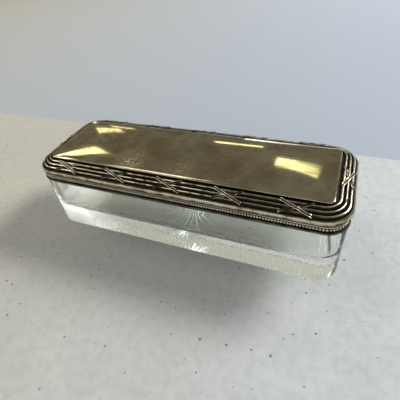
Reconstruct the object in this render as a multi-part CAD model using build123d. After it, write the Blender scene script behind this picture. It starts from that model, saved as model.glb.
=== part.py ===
from build123d import *

import math
import os

# A long glass dressing-table box with a hinged metal lid.
# Millimetres. X runs along the length, the front faces -Y, Z is up, and the origin is at the
# middle of the footprint, on the table.
# A section is drawn as (inset, height): the inset counts inwards from the lid's outermost outline.

# Overall outline
LENGTH = 200.0
WIDTH = 70.0
LID_CORNER = 16.0
BODY_CORNER = 14.0

# Glass body
GLASS_INSET = 1.4
GLASS_WALL = 5.0
GLASS_BASE = 12.0
GLASS_SHOULDER = 38.3
NECK_INSET = 3.5
NECK_TOP = 42.3
FOOT_CHAMFER = 0.4
FLOOR_FILLET = 2.0
STAR_RAYS = 24
STAR_LONG = 26.0
STAR_SHORT = 18.0
STAR_VALLEY = 4.5
STAR_DEPTH = 1.0

# Collar on the glass
BAND_INSET = 2.3
BAND_THICKNESS = 0.6
COLLAR_TOP = 43.2
RIM_THICKNESS = 0.6
RIM_INSET = 1.8
FOOT_RADIUS = 0.95
FOOT_INSET = 0.75
BEAD_RADIUS = 0.8
BEAD_CORE = 0.35
BEAD_PITCH = 1.6
CORNER_BEADS = 11

# Lid
SEAM_GAP = 0.3
RIM_MOULDING_RADIUS = 2.3
SHEET = 0.8
BEZEL_INSET = 6.9
BEZEL_THICKNESS = 0.6
BEZEL_DROP = 2.6
REED_RADIUS = 1.1
REEDS = ((3.0, 48.3), (5.3, 49.4), (7.6, 50.5))
REED_GROOVE = 0.35
STEP_INSET = 12.0
STEP_HEIGHT = 50.6
PANEL_INSET = 10.0
PANEL_CORNER = 3.5
PANEL_EDGE = 52.4
PANEL_RISE = 1.8
TIE_SPACING = 36.0
TIE_LENGTH = 16.0
TIE_WIDTH = 1.6
TIE_PROUD = 0.3
TIE_THICKNESS = 1.0

# Hinge, its barrel flush with the back of the lid
BARREL_RADIUS = 1.2
PIN_RADIUS = 0.5
PIN_CLEARANCE = 0.05
NOTCH_RADIUS = 1.5
KNUCKLE_PITCH = 12.0
KNUCKLE_GAP = 0.2
KNUCKLES = 5
PIN_HEAD_RADIUS = 0.9
PIN_HEAD = 0.4
BEARER_FACE = 0.8

# Worked out from the driving sizes
CAVITY_INSET = GLASS_INSET + GLASS_WALL
RIM_UNDERSIDE = COLLAR_TOP - RIM_THICKNESS
FOOT_HEIGHT = GLASS_SHOULDER + FOOT_RADIUS
BEAD_HEIGHT = FOOT_HEIGHT + FOOT_RADIUS + BEAD_RADIUS
LID_UNDERSIDE = COLLAR_TOP + SEAM_GAP
RIM_MOULDING_HEIGHT = LID_UNDERSIDE + RIM_MOULDING_RADIUS
BORDER_SEAT = RIM_MOULDING_HEIGHT + 1.4
BORDER_INSET = 1.7
FLANGE_INSET = 3.4
FLANGE_TOP = LID_UNDERSIDE + BEZEL_THICKNESS
HINGE_Y = WIDTH / 2 - BARREL_RADIUS
HINGE_Z = COLLAR_TOP + SEAM_GAP / 2
HINGE_HALF = KNUCKLES * KNUCKLE_PITCH / 2
NOTCH_HALF = HINGE_HALF + PIN_HEAD + 0.2


def rectangle(low_inset, high_inset, low, high):
    """Rectangle in a section, from one inset to another and from one height to another."""
    centre = Location(((low_inset + high_inset) / 2, (low + high) / 2))
    return centre * Rectangle(high_inset - low_inset, high - low)


def disc(inset, height, radius):
    """Round bar in a section."""
    return Location((inset, height)) * Circle(radius)


def polygon(*points):
    """Filled outline in a section."""
    return make_face(Polyline(*points, close=True))


def section_plane(x, y, heading):
    """Upright plane of a section that travels along heading, with the insets to its left."""
    return Plane(
        origin=(x, y, 0),
        x_dir=(-math.sin(heading), math.cos(heading), 0),
        z_dir=(math.cos(heading), math.sin(heading), 0),
    )


def ring(section, corner):
    """Moulding that runs round the outline: four straight runs and four turned corners."""
    along_x = LENGTH - 2 * corner
    along_y = WIDTH - 2 * corner
    front = section_plane(-along_x / 2, -WIDTH / 2, 0) * section
    turn = section_plane(along_x / 2, -WIDTH / 2, 0) * section
    end = section_plane(LENGTH / 2, -along_y / 2, math.pi / 2) * section
    second_turn = section_plane(LENGTH / 2, along_y / 2, math.pi / 2) * section
    half = [
        extrude(front, along_x, dir=(1, 0, 0)),
        revolve(turn, Axis((along_x / 2, -along_y / 2, 0), (0, 0, 1)), 90),
        extrude(end, along_y, dir=(0, 1, 0)),
        revolve(second_turn, Axis((along_x / 2, along_y / 2, 0), (0, 0, 1)), 90),
    ]
    other_half = [Rotation(0, 0, 180) * piece for piece in half]
    return Part() + half + other_half


def block(inset, corner, low, high):
    """Solid block inside the outline, at an inset from it."""
    outline = RectangleRounded(LENGTH - 2 * inset, WIDTH - 2 * inset, corner - inset)
    return Location((0, 0, low)) * extrude(outline, high - low)


def hinge_bar(radius, half_length):
    """Round bar along the hinge axis."""
    bar = Plane.YZ * Circle(radius)
    return Location((-half_length, HINGE_Y, HINGE_Z)) * extrude(bar, 2 * half_length)


def star_cut():
    """Cutter for the star: tapering grooves that meet in a point over the middle of the base."""
    turn = 2 * math.pi / STAR_RAYS
    points = []
    for index in range(STAR_RAYS):
        tip = STAR_LONG if index % 2 == 0 else STAR_SHORT
        points.append((tip * math.cos(turn * index), tip * math.sin(turn * index)))
        valley = turn * (index + 0.5)
        points.append((STAR_VALLEY * math.cos(valley), STAR_VALLEY * math.sin(valley)))
    outline = make_face(Polyline(*points, close=True))
    return loft([outline.face(), Vertex(0, 0, STAR_DEPTH)], ruled=True)


def glass_body():
    """Trough with a heavy base, a ground neck for the collar and a star cut underneath."""
    body = block(GLASS_INSET, BODY_CORNER, 0, GLASS_SHOULDER)
    body = chamfer(body.edges().group_by(Axis.Z)[0], FOOT_CHAMFER)
    body += block(NECK_INSET, BODY_CORNER, GLASS_SHOULDER, NECK_TOP)
    cavity = block(CAVITY_INSET, BODY_CORNER, GLASS_BASE, NECK_TOP + 1)
    cavity = fillet(cavity.edges().group_by(Axis.Z)[0], FLOOR_FILLET)
    return body - cavity - star_cut()


def collar_cement():
    """Plaster bed between the ground neck and the collar, carried over the edge of the neck."""
    side = rectangle(BAND_INSET + BAND_THICKNESS, NECK_INSET, GLASS_SHOULDER, RIM_UNDERSIDE)
    edge = rectangle(NECK_INSET, CAVITY_INSET, NECK_TOP, RIM_UNDERSIDE)
    return ring(side + edge, BODY_CORNER)


def collar_band():
    """Plain upright strip round the neck, relieved at the back for the hinge barrel."""
    strip = rectangle(BAND_INSET, BAND_INSET + BAND_THICKNESS, GLASS_SHOULDER, RIM_UNDERSIDE)
    return ring(strip, BODY_CORNER) - hinge_bar(NOTCH_RADIUS, NOTCH_HALF)


def collar_foot_moulding():
    """Rounded moulding along the lower edge of the band."""
    nose = FOOT_INSET + FOOT_RADIUS
    bar = disc(nose, FOOT_HEIGHT, FOOT_RADIUS) & rectangle(FOOT_INSET, nose, 0, COLLAR_TOP)
    bar += rectangle(nose, BAND_INSET, GLASS_SHOULDER, GLASS_SHOULDER + 2 * FOOT_RADIUS)
    return ring(bar, BODY_CORNER)


def collar_mouth_rim():
    """Flat rim over the ground edge of the glass, relieved at the back for the hinge barrel."""
    plate = rectangle(RIM_INSET, CAVITY_INSET, RIM_UNDERSIDE, COLLAR_TOP)
    return ring(plate, BODY_CORNER) - hinge_bar(NOTCH_RADIUS, NOTCH_HALF)


def bead_string(length):
    """Straight run of half beads on a thin core, from X = 0, with its flat back towards +Y."""
    count = round(length / BEAD_PITCH)
    pitch = length / count
    reach = math.sqrt(BEAD_RADIUS**2 - BEAD_CORE**2)
    edges = [Line((0, 0), (0, BEAD_CORE))]
    for index in range(count):
        centre = pitch * (index + 0.5)
        left = (centre - reach, BEAD_CORE)
        right = (centre + reach, BEAD_CORE)
        edges.append(Line((centre - pitch / 2, BEAD_CORE), left))
        edges.append(ThreePointArc(left, (centre, BEAD_RADIUS), right))
        edges.append(Line(right, (centre + pitch / 2, BEAD_CORE)))
    edges.append(Line((length, BEAD_CORE), (length, 0)))
    edges.append(Line((length, 0), (0, 0)))
    return Rotation(90, 0, 0) * revolve(make_face(edges), Axis.X, 180)


def bead_corner():
    """Quarter turn of beads on a thin core, standing on the rounded corner of the band."""
    radius = BODY_CORNER - BAND_INSET
    core = Plane.XZ * Location((radius, 0)) * Circle(BEAD_CORE)
    pieces = [revolve(core, Axis.Z, 90)]
    for index in range(CORNER_BEADS):
        angle = 90 / CORNER_BEADS * (index + 0.5)
        pieces.append(Rotation(0, 0, angle) * Location((radius, 0, 0)) * Sphere(BEAD_RADIUS))
    inside = Cylinder(radius, 4 * BEAD_RADIUS)
    return Part() + pieces - inside


def collar_bead_wire():
    """Beaded wire round the band, open at the back where the hinge sits."""
    straight_x = LENGTH / 2 - BODY_CORNER
    straight_y = WIDTH / 2 - BODY_CORNER
    face_x = LENGTH / 2 - BAND_INSET
    face_y = WIDTH / 2 - BAND_INSET
    back_run = straight_x - NOTCH_HALF
    corner = bead_corner()
    pieces = [
        Location((-straight_x, -face_y, 0)) * bead_string(2 * straight_x),
        Location((face_x, -straight_y, 0), (0, 0, 90)) * bead_string(2 * straight_y),
        Location((straight_x, face_y, 0), (0, 0, 180)) * bead_string(back_run),
        Location((-NOTCH_HALF, face_y, 0), (0, 0, 180)) * bead_string(back_run),
        Location((-face_x, straight_y, 0), (0, 0, 270)) * bead_string(2 * straight_y),
        Location((straight_x, -straight_y, 0), (0, 0, 270)) * corner,
        Location((straight_x, straight_y, 0)) * corner,
        Location((-straight_x, straight_y, 0), (0, 0, 90)) * corner,
        Location((-straight_x, -straight_y, 0), (0, 0, 180)) * corner,
    ]
    return Location((0, 0, BEAD_HEIGHT)) * (Part() + pieces)


def lid_rim_moulding():
    """Thick outer moulding, rebated for the border and the bezel and relieved for the hinge."""
    bar = disc(RIM_MOULDING_RADIUS, RIM_MOULDING_HEIGHT, RIM_MOULDING_RADIUS)
    bar -= rectangle(BORDER_INSET, BORDER_INSET + 5, BORDER_SEAT, BORDER_SEAT + 3)
    bar -= rectangle(FLANGE_INSET, FLANGE_INSET + 5, LID_UNDERSIDE - 1, FLANGE_TOP)
    return ring(bar, LID_CORNER) - hinge_bar(NOTCH_RADIUS, NOTCH_HALF)


def lid_bezel():
    """Angle strip under the lid whose leg drops into the mouth."""
    leg_inset = BEZEL_INSET + BEZEL_THICKNESS
    flange = rectangle(FLANGE_INSET, leg_inset, LID_UNDERSIDE, FLANGE_TOP)
    leg = rectangle(BEZEL_INSET, leg_inset, LID_UNDERSIDE - BEZEL_DROP, FLANGE_TOP)
    return ring(flange + leg, LID_CORNER)


def tie():
    """Crossed ribbons over the reeds, centred on X = 0 and laid along the reeds' slope."""
    low_inset, low_height = REEDS[0]
    high_inset, high_height = REEDS[-1]
    run = high_inset - low_inset
    rise = high_height - low_height
    slope = math.degrees(math.atan2(rise, run))
    across = math.hypot(run, rise) + 2 * REED_RADIUS
    crossing = math.degrees(math.atan2(across, TIE_LENGTH))
    ribbon = Box(math.hypot(TIE_LENGTH, across), TIE_WIDTH, TIE_THICKNESS)
    crossed = Rotation(0, 0, crossing) * ribbon + Rotation(0, 0, -crossing) * ribbon
    middle_inset, middle_height = REEDS[1]
    above = REED_RADIUS + TIE_PROUD - TIE_THICKNESS / 2
    place = Location((0, -WIDTH / 2 + middle_inset, middle_height), (slope, 0, 0))
    return place * Location((0, 0, above)) * crossed


def lid_border():
    """Stamped border: three stepped reeds bound by crossed ribbons, and the step inside them."""
    low, middle, high = REEDS
    floor = [(inset, height - REED_GROOVE) for inset, height in REEDS]
    outline = polygon(
        (BORDER_INSET, BORDER_SEAT),
        (low[0] + 0.6, BORDER_SEAT),
        (middle[0] + 0.3, middle[1] - REED_RADIUS),
        (high[0] + 0.3, high[1] - REED_RADIUS),
        (high[0] + REED_RADIUS + 0.5, STEP_HEIGHT - SHEET),
        (STEP_INSET, STEP_HEIGHT - SHEET),
        (STEP_INSET, STEP_HEIGHT),
        (high[0], STEP_HEIGHT),
        floor[2],
        floor[1],
        floor[0],
        (BORDER_INSET, floor[0][1]),
    )
    for inset, height in REEDS:
        outline += disc(inset, height, REED_RADIUS)
    outline -= rectangle(0, low[0] + 0.6, low[1] - 2 * REED_RADIUS, BORDER_SEAT)
    border = ring(outline, LID_CORNER)
    crossed = tie()
    front_ties = [Location((TIE_SPACING * step, 0, 0)) * crossed for step in (-2, -1, 0, 1, 2)]
    end_tie = Location((LENGTH / 2 - WIDTH / 2, 0, 0)) * Rotation(0, 0, 90) * crossed
    ties = front_ties + [end_tie]
    ties += [Rotation(0, 0, 180) * piece for piece in ties]
    return border + ties


def lid_panel():
    """Raised top panel, gently domed, with its edge turned down on to the step."""
    length = LENGTH - 2 * PANEL_INSET
    width = WIDTH - 2 * PANEL_INSET
    spread = 1.06
    columns, rows = 33, 17
    surface = [
        [
            Vector(
                spread * length / 2 * (2 * i / (columns - 1) - 1),
                spread * width / 2 * (2 * j / (rows - 1) - 1),
                PANEL_EDGE
                + PANEL_RISE
                * (1 - abs(spread * (2 * i / (columns - 1) - 1)) ** 6)
                * (1 - abs(spread * (2 * j / (rows - 1) - 1)) ** 3),
            )
            for j in range(rows)
        ]
        for i in range(columns)
    ]
    top = Face.make_surface_from_array_of_points(surface, tol=0.005)
    outer = RectangleRounded(length, width, PANEL_CORNER)
    inner = RectangleRounded(length - 2 * SHEET, width - 2 * SHEET, PANEL_CORNER - SHEET)
    column = Location((0, 0, STEP_HEIGHT)) * extrude(outer, PANEL_EDGE + PANEL_RISE)
    hollow = Location((0, 0, STEP_HEIGHT)) * extrude(inner, PANEL_EDGE + PANEL_RISE)
    below = PANEL_EDGE + PANEL_RISE
    solid = extrude(top, below, dir=(0, 0, -1)) & column
    lining = Location((0, 0, -SHEET)) * extrude(top, below, dir=(0, 0, -1)) & hollow
    return solid - lining


def knuckle(position, saddle_from, saddle_to):
    """Tube round the hinge pin, with a saddle on one side that seats it on its leaf."""
    length = KNUCKLE_PITCH - KNUCKLE_GAP
    middle = (saddle_from + saddle_to) / 2
    half_angle = math.radians(saddle_to - saddle_from) / 2
    reach = 2 * NOTCH_RADIUS
    sector = polygon(
        (0, 0),
        (reach * math.cos(half_angle), reach * math.sin(half_angle)),
        (reach * math.cos(half_angle), -reach * math.sin(half_angle)),
    )
    saddle = Rotation(0, 0, middle) * (sector & Circle(NOTCH_RADIUS))
    tube = Circle(BARREL_RADIUS) + saddle - Circle(PIN_RADIUS + PIN_CLEARANCE)
    start = -HINGE_HALF + KNUCKLE_PITCH * position + KNUCKLE_GAP / 2
    place = Plane(origin=(start, HINGE_Y, HINGE_Z), x_dir=(0, 1, 0), z_dir=(1, 0, 0))
    return extrude(place * tube, length, dir=(1, 0, 0))


def collar_hinge_bearer():
    """Strip behind the band that carries the collar's knuckles."""
    strip = rectangle(BEARER_FACE, BAND_INSET, FOOT_HEIGHT + FOOT_RADIUS, RIM_UNDERSIDE)
    start = section_plane(NOTCH_HALF, WIDTH / 2, math.pi)
    bearer = extrude(start * strip, 2 * NOTCH_HALF, dir=(-1, 0, 0))
    return bearer - hinge_bar(NOTCH_RADIUS, NOTCH_HALF + 1)


def hinge_pin():
    """Pin through the five knuckles, with a small head peened at each end."""
    pin = hinge_bar(PIN_RADIUS, HINGE_HALF + PIN_HEAD)
    head = Plane.YZ * Circle(PIN_HEAD_RADIUS)
    for start in (-HINGE_HALF - PIN_HEAD, HINGE_HALF):
        pin += Location((start, HINGE_Y, HINGE_Z)) * extrude(head, PIN_HEAD)
    return pin


COLLAR_SADDLE = (-174, -77)
LID_SADDLE = (60, 165)

parts = {
    "glass_body": glass_body(),
    "collar_cement": collar_cement(),
    "collar_band": collar_band(),
    "collar_foot_moulding": collar_foot_moulding(),
    "collar_mouth_rim": collar_mouth_rim(),
    "collar_bead_wire": collar_bead_wire(),
    "collar_hinge_bearer": collar_hinge_bearer(),
    "collar_knuckle_left": knuckle(0, *COLLAR_SADDLE),
    "collar_knuckle_centre": knuckle(2, *COLLAR_SADDLE),
    "collar_knuckle_right": knuckle(4, *COLLAR_SADDLE),
    "hinge_pin": hinge_pin(),
    "lid_rim_moulding": lid_rim_moulding(),
    "lid_bezel": lid_bezel(),
    "lid_border": lid_border(),
    "lid_panel": lid_panel(),
    "lid_knuckle_left": knuckle(1, *LID_SADDLE),
    "lid_knuckle_right": knuckle(3, *LID_SADDLE),
}

os.makedirs("parts", exist_ok=True)
for name, solid in parts.items():
    export_step(solid, f"parts/{name}.step")
    print(f"{name}: {solid.volume:.1f} mm3")
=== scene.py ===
import math
import random

import bmesh
import bpy
from mathutils import Matrix, Quaternion, Vector

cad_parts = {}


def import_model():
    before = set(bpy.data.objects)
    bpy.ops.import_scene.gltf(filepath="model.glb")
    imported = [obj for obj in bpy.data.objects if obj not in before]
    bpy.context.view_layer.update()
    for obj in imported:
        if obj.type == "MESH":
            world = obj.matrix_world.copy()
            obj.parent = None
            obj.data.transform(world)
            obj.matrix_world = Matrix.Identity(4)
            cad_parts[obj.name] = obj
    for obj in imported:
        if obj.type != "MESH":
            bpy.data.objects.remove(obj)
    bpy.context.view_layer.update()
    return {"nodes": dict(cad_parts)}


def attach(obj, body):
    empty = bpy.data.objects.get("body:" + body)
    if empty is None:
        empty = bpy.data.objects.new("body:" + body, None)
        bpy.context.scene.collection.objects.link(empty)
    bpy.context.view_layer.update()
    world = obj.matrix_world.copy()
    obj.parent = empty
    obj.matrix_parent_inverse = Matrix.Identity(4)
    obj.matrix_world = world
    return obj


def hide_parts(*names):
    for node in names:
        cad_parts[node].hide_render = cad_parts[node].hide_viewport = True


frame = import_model()

# A glass dressing-table box with a reeded, silver-plated lid.
# Sizes are in millimetres, as in the CAD, and turned into metres where a mesh is made.
MM = 0.001
LENGTH = 200.0
WIDTH = 70.0
LID_CORNER = 16.0
BODY_CORNER = 14.0

GLASS_INSET = 1.4
GLASS_BASE = 12.0
GLASS_SHOULDER = 38.3
CAVITY_INSET = 6.4
NECK_INSET = 3.5
NECK_TOP = 42.3
HEEL_ROUND = 0.5
SHOULDER_ROUND = 0.5
MOUTH_CHAMFER = 0.3
FLOOR_FILLET = 7.0
STAR_RAYS = 24
STAR_LONG = 26.0
STAR_SHORT = 18.0
STAR_VALLEY = 6.5
STAR_DEPTH = 1.0

BAND_INSET = 2.3
FOOT_INSET = 0.75
FOOT_RADIUS = 0.95
FOOT_HEIGHT = 39.25
BEAD_RADIUS = 0.8
BEAD_CORE = 0.35
BEAD_PITCH = 1.6
BEAD_HEIGHT = 41.0
CORNER_BEADS = 11

RIM_RADIUS = 2.3
RIM_HEIGHT = 45.8
REED_RADIUS = 1.1
REED_INSETS = (3.0, 5.3, 7.6)
REED_HEIGHTS = (48.3, 49.4, 50.5)
REED_PITCH = 2.55
BORDER_SEAT = 47.2
STEP_INSET = 12.0
STEP_HEIGHT = 50.6
PANEL_INSET = 10.0
PANEL_CORNER = 3.5
PANEL_EDGE = 52.4
PANEL_RISE = 1.8
PANEL_ROLL = 0.45
SPINE_GAP = 14.0
SHEET = 0.8

TIE_SPACING = 36.0
TIE_LENGTH = 17.0
TIE_REACH = 3.45
RIBBON_SAG = 0.12
OVERLAP_LIFT = 0.3

HINGE_Y = 33.8
HINGE_Z = 43.35
NOTCH_RADIUS = 1.5
NOTCH_HALF = 30.6

# Wear and shade of a point: black below the first value (dirt and painted shade), clean from the
# second.
DARK_BELOW, BRIGHT_ABOVE = 0.8, 1.06
POLISHED = 1.2

random.seed(7)


# ---------------------------------------------------------------- meshes

def make_piece(name, points, faces, wear_and_shade=None, sharp=40):
    """Mesh object from points in millimetres, smooth but for edges sharper than an angle."""
    mesh = bpy.data.meshes.new(name)
    mesh.from_pydata([(x * MM, y * MM, z * MM) for x, y, z in points], [], faces)
    if wear_and_shade:
        mesh.attributes.new("wear_and_shade", "FLOAT", "POINT").data.foreach_set("value", wear_and_shade)
    work = bmesh.new()
    work.from_mesh(mesh)
    bmesh.ops.remove_doubles(work, verts=work.verts, dist=1e-7)
    bmesh.ops.recalc_face_normals(work, faces=work.faces)
    work.to_mesh(mesh)
    work.free()
    mesh.shade_smooth()
    mesh.set_sharp_from_angle(angle=math.radians(sharp))
    piece = bpy.data.objects.new(name, mesh)
    bpy.context.scene.collection.objects.link(piece)
    return piece


def stations(corner, run=3.0, turn=20):
    """Stops round the outline: a point of the corner-centre frame and the outward angle there."""
    half_x = LENGTH / 2 - corner
    half_y = WIDTH / 2 - corner
    centres = [(half_x, -half_y), (half_x, half_y), (-half_x, half_y), (-half_x, -half_y)]
    stops = []
    for quarter, (x, y) in enumerate(centres):
        last_x, last_y = centres[quarter - 1]
        angle = 90 * (quarter - 1)
        count = round(math.hypot(x - last_x, y - last_y) / run)
        for step in range(count):
            part = step / count
            stops.append((last_x + (x - last_x) * part, last_y + (y - last_y) * part, angle))
        stops += [(x, y, angle + 90 * step / turn) for step in range(turn)]
    return stops


def at_inset(stop, corner, inset, height):
    """Point at an inset from the outline and a height, at one stop."""
    x, y, angle = stop
    reach = corner - inset
    turn = math.radians(angle)
    return (x + reach * math.cos(turn), y + reach * math.sin(turn), height)


def unevenness(place, size):
    """Small smooth hand-made unevenness along a run."""
    x, y, _ = place
    waves = math.sin(x * 0.21 + y * 0.33) + math.sin(x * 0.083 - y * 0.19 + 1.3)
    return size * 0.5 * waves


def sweep(name, section, corner, uneven=0.0, sharp=40):
    """Closed moulding: a closed section of (inset, height, wear) carried round the outline."""
    stops = stations(corner)
    points, wear_and_shade, faces = [], [], []
    for stop in stops:
        for inset, height, worn_and_shaded in section:
            place = at_inset(stop, corner, inset, height)
            points.append((place[0], place[1], height + unevenness(place, uneven)))
            wear_and_shade.append(worn_and_shaded)
    size = len(section)
    for i in range(len(stops)):
        after = (i + 1) % len(stops)
        for j in range(size):
            k = (j + 1) % size
            faces.append((i * size + j, after * size + j, after * size + k, i * size + k))
    return make_piece(name, points, faces, wear_and_shade, sharp)


def arc(inset, height, radius, start, end, count, worn_and_shaded=lambda part: 1.0):
    """Points of an arc in a section, from one angle to another in degrees."""
    points = []
    for step in range(count + 1):
        part = step / count
        turn = math.radians(start + (end - start) * part)
        spot = (inset + radius * math.cos(turn), height + radius * math.sin(turn), worn_and_shaded(part))
        points.append(spot)
    return points


def hump(part):
    """Wear over a rounded bead: dark at its two feet, bright on its crest."""
    return math.sin(math.pi * part)


def crest(part):
    """Over a reed: tarnish in the grooves, painted shade on its sides, and a clean bright crest
    top.
    """
    return math.sin(math.pi * part) ** 4


def bar_cutter(radius, half_length):
    """Round bar along the hinge axis, to cut with."""
    count = 48
    points = []
    for x in (-half_length, half_length):
        for step in range(count):
            turn = 2 * math.pi * step / count
            y = HINGE_Y + radius * math.cos(turn)
            points.append((x, y, HINGE_Z + radius * math.sin(turn)))
    faces = [tuple(range(count)), tuple(range(count, 2 * count))]
    for step in range(count):
        after = (step + 1) % count
        faces.append((step, after, count + after, count + step))
    return make_piece("cutter", points, faces)


def cut(piece, cutter, sharp=40):
    """Takes the cutter's space out of the piece."""
    tool = piece.modifiers.new("cut", "BOOLEAN")
    tool.operation = "DIFFERENCE"
    tool.solver = "EXACT"
    tool.object = cutter
    seen = piece.evaluated_get(bpy.context.evaluated_depsgraph_get())
    mesh = bpy.data.meshes.new_from_object(seen)
    piece.modifiers.clear()
    piece.data = mesh
    mesh.set_sharp_from_angle(angle=math.radians(sharp))
    bpy.data.objects.remove(cutter)


def rim_wear_and_shade(part):
    """Outer moulding: bright on its face, darker near the reeds, and painted shade underneath."""
    near_reeds = 0.45 + 3.2 * part
    shade_underneath = 1.43 - 1.8 * part
    return min(1.0, near_reeds, shade_underneath)


def rim_moulding():
    """Thick rounded moulding at the lid's outside edge, relieved for the hinge barrel."""
    section = arc(RIM_RADIUS, RIM_HEIGHT, RIM_RADIUS, 118, 285, 40, rim_wear_and_shade)
    section += [(3.4, 43.6, 0.4), (3.4, 47.15, 0.2), (1.75, 47.15, 0.2)]
    piece = sweep("lid_rim_roll", section, LID_CORNER, 0.03)
    cut(piece, bar_cutter(NOTCH_RADIUS, NOTCH_HALF))
    return piece


def reeded_border():
    """Three stepped reeds with deep grooves, and the step inside them."""
    # The seat under the reeds and the step inside them are black with painted shade.
    section = [(1.7, BORDER_SEAT, 0.1)]
    for number, (inset, height) in enumerate(zip(REED_INSETS, REED_HEIGHTS)):
        end = 12 if number < 2 else 4
        section += arc(inset, height, REED_RADIUS, 196, end, 24, crest)
    section += [(9.0, STEP_HEIGHT - 0.06, 0.15), (9.3, STEP_HEIGHT - 0.02, 0.1)]
    section += [(STEP_INSET, STEP_HEIGHT - 0.02, 0.3), (STEP_INSET, STEP_HEIGHT - SHEET, 0.5)]
    section += [(9.2, STEP_HEIGHT - SHEET, 0.5), (7.9, 49.4, 0.5), (5.6, 48.3, 0.5)]
    section += [(3.6, BORDER_SEAT, 0.5)]
    return sweep("lid_reeds", section, LID_CORNER, 0.04, sharp=60)


def ribbon_height(across):
    """Height of a ribbon drawn tight over the reeds, above the line of their centres."""
    beyond = abs(across) - REED_PITCH
    if beyond <= 0:
        return REED_RADIUS - RIBBON_SAG * math.sin(math.pi * across / REED_PITCH) ** 2
    return math.sqrt(max(REED_RADIUS**2 - beyond**2, 0.0))


def ribbon_tie(name, place):
    """Two crossed ribbons with raised edges, drawn over the reeds, the first over the second."""
    slope = math.atan2(REED_HEIGHTS[2] - REED_HEIGHTS[0], REED_INSETS[2] - REED_INSETS[0])
    steps = 40
    section = [(-0.9, -0.75, 0.1), (-0.9, 0.1, 0.5), (-0.78, 0.27, 1.0), (-0.6, 0.32, 1.0)]
    section += [(-0.42, 0.24, 0.8), (-0.3, 0.08, 0.25), (0.0, 0.02, 0.15), (0.3, 0.08, 0.25)]
    section += [(0.42, 0.24, 0.8), (0.6, 0.32, 1.0), (0.78, 0.27, 1.0), (0.9, 0.1, 0.5)]
    section += [(0.9, -0.75, 0.1)]
    points, wear_and_shade, faces = [], [], []
    # The upper ribbon is painted lighter and the lower one darker: painted highlight and shade.
    for way, over, painted_light in ((-1, OVERLAP_LIFT, 1.14), (1, 0.0, 0.78)):
        first = len(points)
        for step in range(steps + 1):
            part = 2 * step / steps - 1
            along = TIE_LENGTH / 2 * part
            across = way * TIE_REACH * part
            lift = ribbon_height(across) + over * math.exp(-((part / 0.22) ** 2))
            heading = math.atan2(way * TIE_REACH, TIE_LENGTH / 2)
            for side, up, worn_and_shaded in section:
                x = along - side * math.sin(heading)
                inward = across + side * math.cos(heading)
                high = lift + up
                y = -WIDTH / 2 + REED_INSETS[1]
                y += inward * math.cos(slope) - high * math.sin(slope)
                z = REED_HEIGHTS[1] + inward * math.sin(slope) + high * math.cos(slope)
                points.append((x, y, z))
                wear_and_shade.append(worn_and_shaded * painted_light)
        size = len(section)
        for i in range(steps):
            for j in range(size):
                k = (j + 1) % size
                low, high = first + i * size, first + (i + 1) * size
                faces.append((low + j, high + j, high + k, low + k))
        faces.append(tuple(range(first, first + size)))
        faces.append(tuple(range(first + steps * size, first + (steps + 1) * size)))
    moved = [tuple(place @ Vector(point)) for point in points]
    return make_piece(name, moved, faces, wear_and_shade, sharp=50)


def crown(x, y):
    """Height of the domed panel."""
    along = abs(x / (LENGTH / 2 - PANEL_INSET))
    across = abs(y / (WIDTH / 2 - PANEL_INSET))
    return PANEL_EDGE + PANEL_RISE * (1 - along**6) * (1 - across**3)


def top_panel():
    """Domed top panel with a rolled edge and a turned-down skirt."""
    corner = PANEL_INSET + PANEL_CORNER
    stops = stations(corner, 1.5, 12)
    roll = PANEL_ROLL
    # The turned-down skirt under the roll is black with painted shade; the roll is polished.
    rows = [(0.8, STEP_HEIGHT, 0.0), (-0.12, STEP_HEIGHT, 0.0), (-0.16, STEP_HEIGHT + 0.2, 0.1)]
    rows += [(0.0, STEP_HEIGHT + 0.45, 0.1), (0.0, PANEL_EDGE - roll - 0.1, 0.2)]
    for step in range(1, 9):
        turn = math.radians(90 * step / 9)
        height = PANEL_EDGE - roll * (1 - math.sin(turn))
        rows.append((roll * (1 - math.cos(turn)), height, POLISHED))
    points, wear_and_shade = [], []
    for inset, height, worn_and_shaded in rows:
        for stop in stops:
            x, y, z = at_inset(stop, corner, PANEL_INSET + inset, height)
            points.append((x, y, z))
            wear_and_shade.append(worn_and_shaded)
    # The rows of the dome, and those of its underside, close in on a spine along the middle.
    spine = LENGTH / 2 - corner - SPINE_GAP
    steps = 26
    for step in range(steps + 1):
        part = 1 - step / steps
        for stop in stops:
            x, y, _ = at_inset(stop, corner, PANEL_INSET + roll, 0)
            middle = max(-spine, min(spine, x))
            x = middle + (x - middle) * part
            y = y * part
            points.append((x, y, crown(x, y)))
            wear_and_shade.append(POLISHED)
    under = len(points)
    for step in range(steps + 1):
        part = step / steps
        for stop in stops:
            x, y, _ = at_inset(stop, corner, PANEL_INSET + SHEET, 0)
            middle = max(-spine, min(spine, x))
            x = middle + (x - middle) * part
            y = y * part
            points.append((x, y, crown(x, y) - SHEET))
            wear_and_shade.append(1.0)
    size = len(stops)
    count = len(points) // size
    faces = []
    for i in range(count):
        after = (i + 1) % count
        if (i + 1) * size == under:
            continue
        for j in range(size):
            k = (j + 1) % size
            faces.append((i * size + j, i * size + k, after * size + k, after * size + j))
    return make_piece("lid_top_panel", points, faces, wear_and_shade, sharp=50)


def bead(points, faces, x, y, z, radius):
    """Adds one round bead to a mesh in the making."""
    rings, sides = 7, 12
    first = len(points)
    points.append((x, y, z - radius))
    for ring in range(1, rings):
        tilt = math.pi * ring / rings
        for side in range(sides):
            turn = 2 * math.pi * side / sides
            reach = radius * math.sin(tilt)
            high = z - radius * math.cos(tilt)
            points.append((x + reach * math.cos(turn), y + reach * math.sin(turn), high))
    points.append((x, y, z + radius))
    last = len(points) - 1
    for side in range(sides):
        after = (side + 1) % sides
        faces.append((first, first + 1 + after, first + 1 + side))
        top = first + 1 + (rings - 2) * sides
        faces.append((last, top + side, top + after))
        for ring in range(rings - 2):
            low = first + 1 + ring * sides
            faces.append((low + side, low + after, low + sides + after, low + sides + side))


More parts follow.
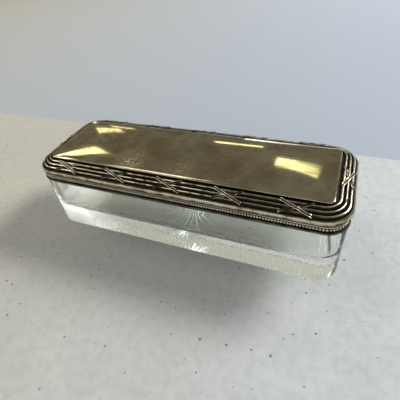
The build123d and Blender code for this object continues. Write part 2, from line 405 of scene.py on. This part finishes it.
def beaded_wire():
    """Beads on a thin core round the collar, open at the back for the hinge."""
    straight_x = LENGTH / 2 - BODY_CORNER
    straight_y = WIDTH / 2 - BODY_CORNER
    radius = BODY_CORNER - BAND_INSET
    runs = [
        ((-straight_x, -straight_y), 0, 2 * straight_x),
        ((straight_x, -straight_y), 90, 2 * straight_y),
        ((straight_x, straight_y), 180, straight_x - NOTCH_HALF),
        ((-NOTCH_HALF, straight_y), 180, straight_x - NOTCH_HALF),
        ((-straight_x, straight_y), 270, 2 * straight_y),
    ]
    places = []
    for (x, y), heading, length in runs:
        count = round(length / BEAD_PITCH)
        turn = math.radians(heading)
        for index in range(count):
            along = length / count * (index + 0.5)
            places.append(
                (
                    x + along * math.cos(turn) + radius * math.sin(turn),
                    y + along * math.sin(turn) - radius * math.cos(turn),
                )
            )
    for quarter, (x, y) in enumerate(((1, -1), (1, 1), (-1, 1), (-1, -1))):
        for index in range(CORNER_BEADS):
            turn = math.radians(90 * (quarter - 1) + 90 / CORNER_BEADS * (index + 0.5))
            places.append(
                (
                    x * straight_x + radius * math.cos(turn),
                    y * straight_y + radius * math.sin(turn),
                )
            )
    points, faces = [], []
    for x, y in places:
        bead(points, faces, x, y, BEAD_HEIGHT, BEAD_RADIUS * random.uniform(0.94, 1.0))
    # Only the part of a bead that faces outwards and up is bright; its sides and underside are
    # painted shade.
    size = len(points) // len(places)
    wear_and_shade = []
    for number, (x, y, z) in enumerate(points):
        middle_x, middle_y = places[number // size]
        out_x = middle_x - max(-straight_x, min(straight_x, middle_x))
        out_y = middle_y - max(-straight_y, min(straight_y, middle_y))
        out = Vector((out_x, out_y, 0.7 * radius)).normalized()
        spot = Vector((x - middle_x, y - middle_y, z - BEAD_HEIGHT))
        wear_and_shade.append(min(1.1, 0.42 + 0.75 * spot.dot(out) / BEAD_RADIUS))
    ring = []
    for stop in stations(BODY_CORNER, 2.0, 16):
        x, y, _ = at_inset(stop, BODY_CORNER, BAND_INSET, 0)
        if not (y > 0 and abs(x) < NOTCH_HALF):
            ring.append((x, y, stop[2]))
    start = next(i for i, (x, y, _) in enumerate(ring) if y > 30 and x < -NOTCH_HALF)
    ring = ring[start:] + ring[:start]
    sides = 8
    first = len(points)
    for x, y, angle in ring:
        out = math.radians(angle)
        for side in range(sides):
            turn = 2 * math.pi * side / sides
            reach = BEAD_CORE * math.cos(turn)
            points.append(
                (
                    x + reach * math.cos(out),
                    y + reach * math.sin(out),
                    BEAD_HEIGHT + BEAD_CORE * math.sin(turn),
                )
            )
            wear_and_shade.append(0.2)
    for i in range(len(ring) - 1):
        for j in range(sides):
            k = (j + 1) % sides
            low, high = first + i * sides, first + (i + 1) * sides
            faces.append((low + j, high + j, high + k, low + k))
    faces.append(tuple(range(first, first + sides)))
    last = first + (len(ring) - 1) * sides
    faces.append(tuple(range(last, last + sides)))
    return make_piece("collar_beads", points, faces, wear_and_shade, sharp=80)


def foot_moulding():
    """Rounded nosing along the foot of the collar."""
    nose = FOOT_INSET + FOOT_RADIUS
    section = arc(nose, FOOT_HEIGHT, FOOT_RADIUS, 90, 270, 20, hump)
    section += [(BAND_INSET, GLASS_SHOULDER, 0.2), (BAND_INSET, FOOT_HEIGHT + FOOT_RADIUS, 0.1)]
    return sweep("collar_foot_roll", section, BODY_CORNER, 0.02)


def star_outline():
    """Outline of the star cut under the base."""
    turn = 2 * math.pi / STAR_RAYS
    points = []
    for index in range(STAR_RAYS):
        tip = STAR_LONG if index % 2 == 0 else STAR_SHORT
        points.append((tip * math.cos(turn * index), tip * math.sin(turn * index)))
        valley = turn * (index + 0.5)
        points.append((STAR_VALLEY * math.cos(valley), STAR_VALLEY * math.sin(valley)))
    return points


def crystal():
    """Glass trough: heavy base, softly rounded edges, ground neck and star-cut underside."""
    stops = stations(BODY_CORNER, 3.0, 24)
    heel, shoulder, mouth = HEEL_ROUND, SHOULDER_ROUND, NECK_TOP - MOUTH_CHAMFER
    rise = 3.1
    section = [(GLASS_INSET + heel + 0.3, 0.0)]
    section += arc(GLASS_INSET + heel, heel, heel, 265, 180, 9)
    section += [(GLASS_INSET, heel + step * rise) for step in range(1, 12)]
    section += arc(GLASS_INSET + shoulder, GLASS_SHOULDER - shoulder, shoulder, 180, 90, 5)
    section += [(NECK_INSET, GLASS_SHOULDER), (NECK_INSET, NECK_TOP - 0.2)]
    section += [(NECK_INSET + 0.2, NECK_TOP), (CAVITY_INSET - MOUTH_CHAMFER, NECK_TOP)]
    section += [(CAVITY_INSET, mouth)]
    section += [(CAVITY_INSET, mouth - step * rise) for step in range(1, 7)]
    fillet = FLOOR_FILLET
    section += arc(CAVITY_INSET + fillet, GLASS_BASE + fillet, -fillet, 0, 90, 10)
    work = bmesh.new()
    rings = []
    for inset, height, *_ in section:
        ring = [
            work.verts.new(Vector(at_inset(stop, BODY_CORNER, inset, height)) * MM)
            for stop in stops
        ]
        rings.append(ring)
    size = len(stops)
    for low, high in zip(rings, rings[1:]):
        for j in range(size):
            k = (j + 1) % size
            work.faces.new((low[j], low[k], high[k], high[j]))
    work.faces.new(rings[-1])
    star = [work.verts.new((x * MM, y * MM, 0)) for x, y in star_outline()]
    apex = work.verts.new((0, 0, STAR_DEPTH * MM))
    star_edges = []
    for index, point in enumerate(star):
        after = star[(index + 1) % len(star)]
        facet = work.faces.new((point, after, apex))
        facet.material_index = 1
        star_edges.append(work.edges.get((point, after)))
    outer_edges = [work.edges.get((rings[0][j], rings[0][(j + 1) % size])) for j in range(size)]
    bmesh.ops.triangle_fill(
        work, use_beauty=True, use_dissolve=False, edges=outer_edges + star_edges
    )
    bmesh.ops.recalc_face_normals(work, faces=work.faces)
    mesh = bpy.data.meshes.new("glass_trough")
    work.to_mesh(mesh)
    work.free()
    mesh.shade_smooth()
    mesh.set_sharp_from_angle(angle=math.radians(12))
    piece = bpy.data.objects.new("glass_trough", mesh)
    bpy.context.scene.collection.objects.link(piece)
    return piece


# ---------------------------------------------------------------- materials

def add(tree, kind, inputs=None, **settings):
    """Adds a shader node, with its settings and its inputs as values or sockets."""
    node = tree.nodes.new("ShaderNode" + kind)
    for key, value in settings.items():
        setattr(node, key, value)
    for key, value in (inputs or {}).items():
        if isinstance(value, bpy.types.NodeSocket):
            tree.links.new(value, node.inputs[key])
        else:
            node.inputs[key].default_value = value
    return node


def maths(tree, operation, first, second):
    """Result of a sum, product or other operation on two values."""
    return add(tree, "Math", {0: first, 1: second}, operation=operation).outputs[0]


def fade(tree, value, low, high, start=0.0, end=1.0):
    """Value carried from one range to another and held within it."""
    inputs = {"Value": value, 1: low, 2: high, 3: start, 4: end}
    return add(tree, "MapRange", inputs).outputs[0]


def tint(tree, factor, first, second):
    """Colour between two colours."""
    inputs = {0: factor, 6: first, 7: second}
    return add(tree, "Mix", inputs, data_type="RGBA").outputs[2]


def noise(tree, stretch, scale, detail=4.0, distortion=0.0):
    """Noise over the piece's own coordinates, stretched along some of them."""
    spots = add(tree, "TexCoord").outputs["Object"]
    spots = add(tree, "Mapping", {"Vector": spots, "Scale": stretch}).outputs[0]
    inputs = {"Vector": spots, "Scale": scale, "Detail": detail, "Distortion": distortion}
    return add(tree, "TexNoise", inputs).outputs[0]


def new_material(name):
    """Empty node material and its tree."""
    material = bpy.data.materials.new(name)
    material.use_nodes = True
    tree = material.node_tree
    tree.nodes.clear()
    return material, tree


def finish_material(tree, shader):
    """Joins a shader to the material's output."""
    output = add(tree, "OutputMaterial")
    tree.links.new(shader, output.inputs["Surface"])


def silver(name, bright, stain, hollow_and_shade, roughness, grain, worn_and_shaded=True, patchy=0.12, blooms=()):
    """Old silver plate: tarnish in patches and blooms, fine scratches, dirt in hollows, painted
    shade.
    """
    material, tree = new_material(name)
    cloud = noise(tree, (1, 1, 1), 38, 6, 0.6)
    blot = noise(tree, (1, 1, 1), 160, 4, 0.2)
    streak = noise(tree, grain, 1.0, 5)
    fleck = noise(tree, (1, 1, 1), 900, 2)
    patches = fade(tree, cloud, 0.42, 0.68)
    colour = tint(tree, patches, bright, stain)
    mottle = fade(tree, blot, 0.45, 0.7, 0.0, 0.45)
    colour = tint(tree, mottle, colour, stain)
    scuff = fade(tree, streak, 0.55, 0.72)
    colour = tint(tree, maths(tree, "MULTIPLY", scuff, 0.45), colour, stain)
    haze = 0.0
    for x, y, reach, bloom, cloudy in blooms:
        spots = add(tree, "TexCoord").outputs["Object"]
        centre = (x * MM, y * MM, PANEL_EDGE * MM)
        away = add(tree, "VectorMath", {0: spots, 1: centre}, operation="DISTANCE").outputs["Value"]
        near = fade(tree, away, reach * MM, 0.2 * reach * MM)
        speckle = fade(tree, noise(tree, (1, 2, 1), 330, 5, 1.5), 0.42, 0.62)
        bloomed = maths(tree, "MULTIPLY", near, speckle)
        colour = tint(tree, bloomed, colour, bloom)
        haze = maths(tree, "ADD", haze, maths(tree, "MULTIPLY", bloomed, cloudy))
    rough = maths(tree, "MULTIPLY_ADD", patches, 0.06)
    rough.node.inputs[2].default_value = roughness
    rough = maths(tree, "ADD", rough, maths(tree, "MULTIPLY", scuff, 0.08))
    if blooms:
        rough = maths(tree, "ADD", rough, haze)
    if worn_and_shaded:
        # Low values give dirt in the hollows and painted shade under and between the mouldings.
        wear_and_shade = add(tree, "Attribute", attribute_name="wear_and_shade").outputs["Fac"]
        rubbed = noise(tree, (1, 1, 1), 240, 3)
        dirt_and_shade = maths(tree, "ADD", wear_and_shade, maths(tree, "MULTIPLY", fleck, 0.16))
        dirt_and_shade = maths(tree, "ADD", dirt_and_shade, fade(tree, rubbed, 0.35, 0.65, -patchy, patchy))
        bright_part = fade(tree, dirt_and_shade, DARK_BELOW, BRIGHT_ABOVE)
        colour = tint(tree, bright_part, hollow_and_shade, colour)
        dull = maths(tree, "SUBTRACT", 1.0, bright_part)
        rough = maths(tree, "ADD", rough, maths(tree, "MULTIPLY", dull, 0.35))
    relief = maths(tree, "ADD", maths(tree, "MULTIPLY", streak, 0.5), fleck)
    bump = add(tree, "Bump", {"Strength": 0.08, "Distance": 0.00005, "Height": relief})
    inputs = {
        "Base Color": colour,
        "Metallic": 1.0,
        "Roughness": rough,
        "Normal": bump.outputs[0],
    }
    shader = add(tree, "BsdfPrincipled", inputs)
    finish_material(tree, shader.outputs[0])
    return material


def clear_glass(name, frost, clear):
    """Old crystal, faintly wavy, that lets lamp light through.

    Its heavy base is finely lined, and dull from wear low down at the left end.
    """
    material, tree = new_material(name)
    spots = add(tree, "TexCoord").outputs["Object"]
    level = add(tree, "SeparateXYZ", {0: spots}).outputs[2]
    top = GLASS_BASE * MM
    below = fade(tree, level, top - 0.0002, top - 0.0008)
    heavy = maths(tree, "MULTIPLY", below, fade(tree, level, 0.0001, 0.0006))
    wave = noise(tree, (1, 1, 0.35), 60, 2, 0.3)
    ripple = noise(tree, (1, 1, 0.05), 620, 2)
    lines = maths(tree, "MULTIPLY", ripple, fade(tree, heavy, 0.0, 1.0, 0.08, 0.8))
    height = maths(tree, "ADD", wave, lines)
    bump = add(tree, "Bump", {"Strength": 0.25, "Distance": 0.0004, "Height": height})
    smear = noise(tree, (1, 1, 1), 90, 4)
    etch = maths(tree, "MULTIPLY", heavy, fade(tree, ripple, 0.46, 0.6, 0.0, 0.3))
    rough = maths(tree, "ADD", fade(tree, smear, 0.45, 0.8, frost, frost + 0.05), etch)
    along = add(tree, "SeparateXYZ", {0: spots}).outputs[0]
    low = fade(tree, level, 0.021, 0.016)
    left = fade(tree, along, -0.06, -0.072, 0.0, 0.5)
    end = maths(tree, "MULTIPLY", low, left)
    rough = maths(tree, "ADD", rough, end)
    inputs = {
        "Base Color": (0.97, 0.985, 0.955, 1),
        "Roughness": rough,
        "IOR": 1.53,
        "Transmission Weight": clear,
        "Normal": bump.outputs[0],
    }
    glass = add(tree, "BsdfPrincipled", inputs)
    open_way = add(tree, "BsdfTransparent", {"Color": (0.98, 0.985, 0.975, 1)})
    path = add(tree, "LightPath").outputs
    mixed = glass.outputs[0]
    for kind in ("Is Diffuse Ray", "Is Shadow Ray"):
        mixed = add(tree, "MixShader", {0: path[kind], 1: mixed, 2: open_way.outputs[0]}).outputs[0]
    finish_material(tree, mixed)
    return material


def plaster():
    """Old plaster bedding, grainy and stained."""
    material, tree = new_material("plaster_bed")
    grain = noise(tree, (1, 1, 1), 900, 5)
    stain = noise(tree, (1, 1, 1), 120, 4)
    colour = tint(tree, fade(tree, stain, 0.35, 0.7), (0.62, 0.58, 0.5, 1), (0.36, 0.31, 0.24, 1))
    bump = add(tree, "Bump", {"Strength": 0.5, "Distance": 0.0001, "Height": grain})
    inputs = {"Base Color": colour, "Roughness": 0.9, "Normal": bump.outputs[0]}
    shader = add(tree, "BsdfPrincipled", inputs)
    finish_material(tree, shader.outputs[0])
    return material


PLATE = (0.8, 0.76, 0.64, 1)
TARNISH = (0.62, 0.54, 0.38, 1)
BLACK = (0.04, 0.034, 0.023, 1)

# Cloudy places on the panel: where along X and Y, their reach, their colour and their dullness.
BLOOMS = (
    (-62.0, 9.0, 30.0, (0.36, 0.22, 0.1, 1), 0.08),
    (-30.0, -16.0, 15.0, (0.93, 0.84, 0.6, 1), 0.24),
    (4.0, -17.0, 13.0, (0.9, 0.8, 0.56, 1), 0.2),
    (30.0, -12.0, 22.0, (0.5, 0.38, 0.25, 1), 0.05),
    (-72.0, -8.0, 14.0, (0.5, 0.36, 0.2, 1), 0.05),
)
panel_silver = silver(
    "plate_panel", PLATE, (0.48, 0.39, 0.24, 1), BLACK, 0.05, (18, 900, 900), True, 0.0, BLOOMS
)
border_silver = silver(
    "plate_border", (0.84, 0.81, 0.7, 1), TARNISH, BLACK, 0.16, (400, 400, 400), True, 0.2
)
rim_silver = silver(
    "plate_rim", (0.72, 0.68, 0.59, 1), TARNISH, (0.12, 0.09, 0.06, 1), 0.2, (300, 300, 1200)
)
# The collar's plate is near black: painted shade under the lid's overhang.
collar_silver = silver(
    "plate_collar", (0.14, 0.12, 0.1, 1), (0.08, 0.065, 0.05, 1), BLACK, 0.35,
    (300, 300, 900), False
)
foot_silver = silver(
    "plate_foot", (0.2, 0.18, 0.15, 1), (0.12, 0.1, 0.07, 1), BLACK, 0.3, (300, 300, 900)
)
bead_silver = silver("plate_beads", (0.86, 0.82, 0.72, 1), PLATE, BLACK, 0.3, (500, 500, 500))
hinge_silver = silver("plate_hinge", PLATE, TARNISH, BLACK, 0.25, (900, 300, 300), False)
inside_silver = silver(
    "plate_inside", (0.7, 0.64, 0.48, 1), TARNISH, BLACK, 0.3, (40, 700, 700), False
)
pin_metal = silver(
    "pin_brass", (0.72, 0.55, 0.28, 1), (0.45, 0.33, 0.17, 1), BLACK, 0.3, (900, 200, 200), False
)
glass = clear_glass("crystal_glass", 0.0, 1.0)
cut_glass = clear_glass("crystal_cut", 0.45, 0.6)
bedding = plaster()


def dress(node, material):
    """Gives a CAD node its material."""
    for place in frame["nodes"][node].material_slots:
        place.material = material


for node, material in {
    "collar_band": collar_silver,
    "collar_mouth_rim": hinge_silver,
    "collar_hinge_bearer": collar_silver,
    "collar_knuckle_left": hinge_silver,
    "collar_knuckle_centre": hinge_silver,
    "collar_knuckle_right": hinge_silver,
    "lid_knuckle_left": hinge_silver,
    "lid_knuckle_right": hinge_silver,
    "hinge_pin": pin_metal,
    "lid_bezel": inside_silver,
    "collar_cement": bedding,
}.items():
    dress(node, material)


def settle(piece, body, material, slot, *nodes):
    """Gives a new piece its material and body, and hides the CAD nodes it stands for; slot is not
    used.
    """
    piece.data.materials.append(material)
    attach(piece, body)
    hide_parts(*nodes)


trough = crystal()
settle(trough, "base", glass, "clear_glass", "glass_body")
trough.data.materials.append(cut_glass)
settle(foot_moulding(), "base", foot_silver, "plated_collar", "collar_foot_moulding")
settle(beaded_wire(), "base", bead_silver, "plated_beads", "collar_bead_wire")
settle(rim_moulding(), "lid", rim_silver, "plated_moulding", "lid_rim_moulding")
settle(reeded_border(), "lid", border_silver, "plated_border", "lid_border")
settle(top_panel(), "lid", panel_silver, "plated_panel", "lid_panel")

for side, half_turn in (("front", 0), ("back", 180)):
    for number in range(5):
        shift = Matrix.Translation((TIE_SPACING * (number - 2), 0, 0))
        place = Matrix.Rotation(math.radians(half_turn), 4, "Z") @ shift
        tie = ribbon_tie(f"ribbon_{side}_{number + 1}", place)
        settle(tie, "lid", border_silver, "plated_border", "lid_border")
for side, turn in (("right", 90), ("left", 270)):
    out = Matrix.Translation((math.copysign(LENGTH / 2 - WIDTH / 2, 180 - turn), 0, 0))
    tie = ribbon_tie(f"ribbon_{side}_end", out @ Matrix.Rotation(math.radians(turn), 4, "Z"))
    settle(tie, "lid", border_silver, "plated_border", "lid_border")


# ---------------------------------------------------------------- stage, lights and camera

FLOOR_GAP = 0.0002
FLOOR_HALF = 5.0
TABLE_BACK = 0.101
# Table and wall colours carry painted light, graded from the left to the right.
TABLE_LEFT_SHADED, TABLE_RIGHT_LIT = (0.6, 0.535, 0.42, 1), (0.69, 0.7, 0.7, 1)
WALL_LEFT_WARM_LIT, WALL_RIGHT_COOL_LIT = (0.55, 0.51, 0.43, 1), (0.395, 0.435, 0.505, 1)
SURROUND = (0.53, 0.53, 0.45, 1)
HAZE_START, HAZE_FULL = 1.6, 2.8


def stage_material():
    """Pale speckled table top, the pale wall behind its back edge, and haze far off."""
    material, tree = new_material("stage_top")
    spots = add(tree, "TexCoord").outputs["Object"]
    depth = add(tree, "SeparateXYZ", {0: spots}).outputs[1]
    cloud = noise(tree, (1, 1, 1), 9, 6)
    fine = noise(tree, (1, 1, 1), 220, 4)
    sideways = add(tree, "SeparateXYZ", {0: spots}).outputs[0]
    # Painted light across the table: darker and warm at the left, lighter and cool at the right.
    top = tint(tree, fade(tree, sideways, -0.16, 0.16), TABLE_LEFT_SHADED, TABLE_RIGHT_LIT)
    top = tint(tree, fade(tree, cloud, 0.35, 0.7, 0.0, 0.4), top, (0.5, 0.48, 0.43, 1))
    mottle = noise(tree, (1, 1, 1), 48, 5)
    top = tint(tree, fade(tree, mottle, 0.4, 0.7, 0.0, 0.2), top, (0.45, 0.44, 0.41, 1))
    top = tint(tree, fade(tree, fine, 0.42, 0.7, 0.0, 0.22), top, (0.3, 0.3, 0.28, 1))
    dots = {"Vector": spots, "Scale": 75.0}
    cells = add(tree, "TexVoronoi", dots, voronoi_dimensions="2D").outputs["Distance"]
    size = fade(tree, noise(tree, (1, 1, 1), 30, 2), 0.4, 0.65, 0.0, 0.058)
    speck = fade(tree, maths(tree, "SUBTRACT", cells, size), 0.008, -0.012, 0.0, 0.8)
    top = tint(tree, speck, top, (0.1, 0.1, 0.095, 1))
    # Painted light across the wall: warm at the left, bluish at the right.
    across = fade(tree, sideways, -0.9, 0.35)
    wall = tint(tree, across, WALL_LEFT_WARM_LIT, WALL_RIGHT_COOL_LIT)
    colour = tint(tree, fade(tree, depth, TABLE_BACK, TABLE_BACK + 0.002), top, wall)
    inputs = {"Base Color": colour, "Roughness": 0.75}
    shader = add(tree, "BsdfPrincipled", inputs)
    reach = add(tree, "VectorMath", {0: spots}, operation="LENGTH").outputs["Value"]
    seen = add(tree, "LightPath").outputs["Is Camera Ray"]
    haze = maths(tree, "MULTIPLY", fade(tree, reach, HAZE_START, HAZE_FULL), seen)
    glow = add(tree, "Emission", {"Color": SURROUND, "Strength": 1.0})
    mixed = add(tree, "MixShader", {0: haze, 1: shader.outputs[0], 2: glow.outputs[0]})
    finish_material(tree, mixed.outputs[0])
    return material


def stage():
    """Floor just under the box, which runs back and curves up into a backdrop."""
    profile = [(-FLOOR_HALF, -FLOOR_GAP), (TABLE_BACK, -FLOOR_GAP), (FLOOR_HALF, -FLOOR_GAP)]
    for step in range(1, 9):
        turn = math.radians(90 * step / 8)
        profile.append((FLOOR_HALF + math.sin(turn), 1 - math.cos(turn) - FLOOR_GAP))
    points, faces = [], []
    for y, z in profile:
        points += [(-FLOOR_HALF, y, z), (FLOOR_HALF, y, z)]
    for i in range(len(profile) - 1):
        faces.append((2 * i, 2 * i + 1, 2 * i + 3, 2 * i + 2))
    mesh = bpy.data.meshes.new("stage_floor")
    mesh.from_pydata(points, [], faces)
    mesh.shade_smooth()
    mesh.materials.append(stage_material())
    floor = bpy.data.objects.new("stage_floor", mesh)
    bpy.context.scene.collection.objects.link(floor)


def lamp(name, start, azimuth, elevation, distance, wide, high, power, colour, roll=0):
    """Soft lamp seen from a point. Azimuth 0 is straight behind the box and 90 to its right."""
    turn, tilt = math.radians(azimuth), math.radians(elevation)
    out = Vector(
        (math.sin(turn) * math.cos(tilt), math.cos(turn) * math.cos(tilt), math.sin(tilt))
    )
    light = bpy.data.lights.new(name, "AREA")
    light.shape = "RECTANGLE"
    light.size, light.size_y = wide, high
    light.energy = power
    light.color = colour
    holder = bpy.data.objects.new(name, light)
    holder.location = Vector(start) + out * distance
    facing = out.to_track_quat("Z", "Y") @ Quaternion((0, 0, 1), math.radians(roll))
    holder.rotation_euler = facing.to_euler()
    bpy.context.scene.collection.objects.link(holder)


def world():
    """Dim room, warm and lighter to the front where it shows in the silver.

    Where it only lights matt surfaces it is bluish, and as a background it is pale.
    """
    sky = bpy.data.worlds.new("room")
    sky.use_nodes = True
    tree = sky.node_tree
    tree.nodes.clear()
    ways = add(tree, "TexCoord").outputs["Generated"]
    parts = add(tree, "SeparateXYZ", {0: ways})
    front = fade(tree, parts.outputs[1], 0.15, -0.45)
    rise = fade(tree, parts.outputs[2], 0.03, 0.2)
    fall = fade(tree, parts.outputs[2], 0.7, 0.4)
    band = maths(tree, "MULTIPLY", front, maths(tree, "MULTIPLY", rise, fall))
    path = add(tree, "LightPath").outputs
    seen = maths(tree, "MAXIMUM", path["Is Camera Ray"], path["Is Transmission Ray"])
    direct = maths(tree, "LESS_THAN", path["Diffuse Depth"], 0.5)
    seen = maths(tree, "MULTIPLY", seen, direct)
    band = maths(tree, "MULTIPLY", band, fade(tree, direct, 0.0, 1.0, 0.85, 1.0))
    back, low = fade(tree, parts.outputs[1], 0.0, 0.4), fade(tree, parts.outputs[2], 0.75, 0.45)
    behind = maths(tree, "MULTIPLY", back, low)
    behind = maths(tree, "MULTIPLY", behind, fade(tree, direct, 0.0, 1.0, 0.95, 0.0))
    band = maths(tree, "MAXIMUM", band, behind)
    dim = tint(tree, direct, (0.13, 0.15, 0.17, 1), (0.16, 0.148, 0.108, 1))
    light = tint(tree, direct, (0.78, 0.88, 1.0, 1), (0.85, 0.83, 0.76, 1))
    colour = tint(tree, band, dim, light)
    colour = tint(tree, seen, colour, SURROUND)
    glow = add(tree, "Background", {"Color": colour, "Strength": 1.0})
    output = add(tree, "OutputWorld")
    tree.links.new(glow.outputs[0], output.inputs["Surface"])
    bpy.context.scene.world = sky


CAMERA_ANGLES = (26.551, 40.986, 7.437)
CAMERA_PLACE = (0.082939, -0.1565, 0.165788)
FOCAL_PIXELS, PICTURE_PIXELS, SENSOR = 330.64, 400, 36.0


def camera():
    """Camera of the photograph, from a fit of the box's outlines."""
    azimuth, elevation, roll = (math.radians(angle) for angle in CAMERA_ANGLES)
    back = Vector(
        (
            math.sin(azimuth) * math.cos(elevation),
            -math.cos(azimuth) * math.cos(elevation),
            math.sin(elevation),
        )
    )
    level = Vector((0, 0, 1)).cross(back).normalized()
    up = back.cross(level)
    across = math.cos(roll) * level - math.sin(roll) * up
    upright = math.sin(roll) * level + math.cos(roll) * up
    lens = bpy.data.cameras.new("photo_camera")
    lens.sensor_width = SENSOR
    lens.lens = FOCAL_PIXELS / PICTURE_PIXELS * SENSOR
    lens.clip_start, lens.clip_end = 0.01, 50.0
    view = bpy.data.objects.new("photo_camera", lens)
    turn = Matrix((across, upright, back)).transposed().to_4x4()
    view.matrix_world = Matrix.Translation(CAMERA_PLACE) @ turn
    bpy.context.scene.collection.objects.link(view)
    bpy.context.scene.camera = view


stage()
world()
ORIGIN = (0.0, 0.0, 0.0)
COOL, WARM, YELLOW = (0.93, 0.97, 1.0), (1.0, 0.97, 0.9), (1.0, 1.0, 0.52)
# Name, point it is aimed at, azimuth, elevation, distance, width, height, power and colour, and
# any roll. The windows are those that show in the lid.
LAMPS = (
    ("key", ORIGIN, 44, 37, 2.6, 0.95, 0.7, 63.0, COOL),
    ("low_window", ORIGIN, 12, 11, 2.6, 2.4, 0.35, 6.0, COOL),
    ("left_window", ORIGIN, -88, 40, 2.4, 0.8, 0.6, 6.0, WARM),
    ("skylight", ORIGIN, -75, 62, 1.5, 0.6, 0.4, 1.6, WARM),
    ("window_1", (-0.067, -0.016, 0.054), -51.2, 32.2, 1.45, 0.22, 0.16, 0.26, YELLOW),
    ("window_2", (-0.065, 0.011, 0.054), -41, 20.6, 1.45, 0.17, 0.1, 0.1, YELLOW),
    ("window_3", (-0.059, 0.018, 0.054), -36.5, 16.3, 1.45, 0.13, 0.045, 0.03, YELLOW),
    ("window_4", (0.03, 0.014, 0.054), -16, 24.2, 1.45, 0.24, 0.055, 0.07, YELLOW),
    ("window_5", (0.068, -0.001, 0.054), -2.5, 35.8, 1.45, 0.3, 0.08, 0.12, YELLOW, -11),
)
for settings in LAMPS:
    lamp(*settings)
camera()
bpy.context.scene.view_settings.view_transform = "Standard"
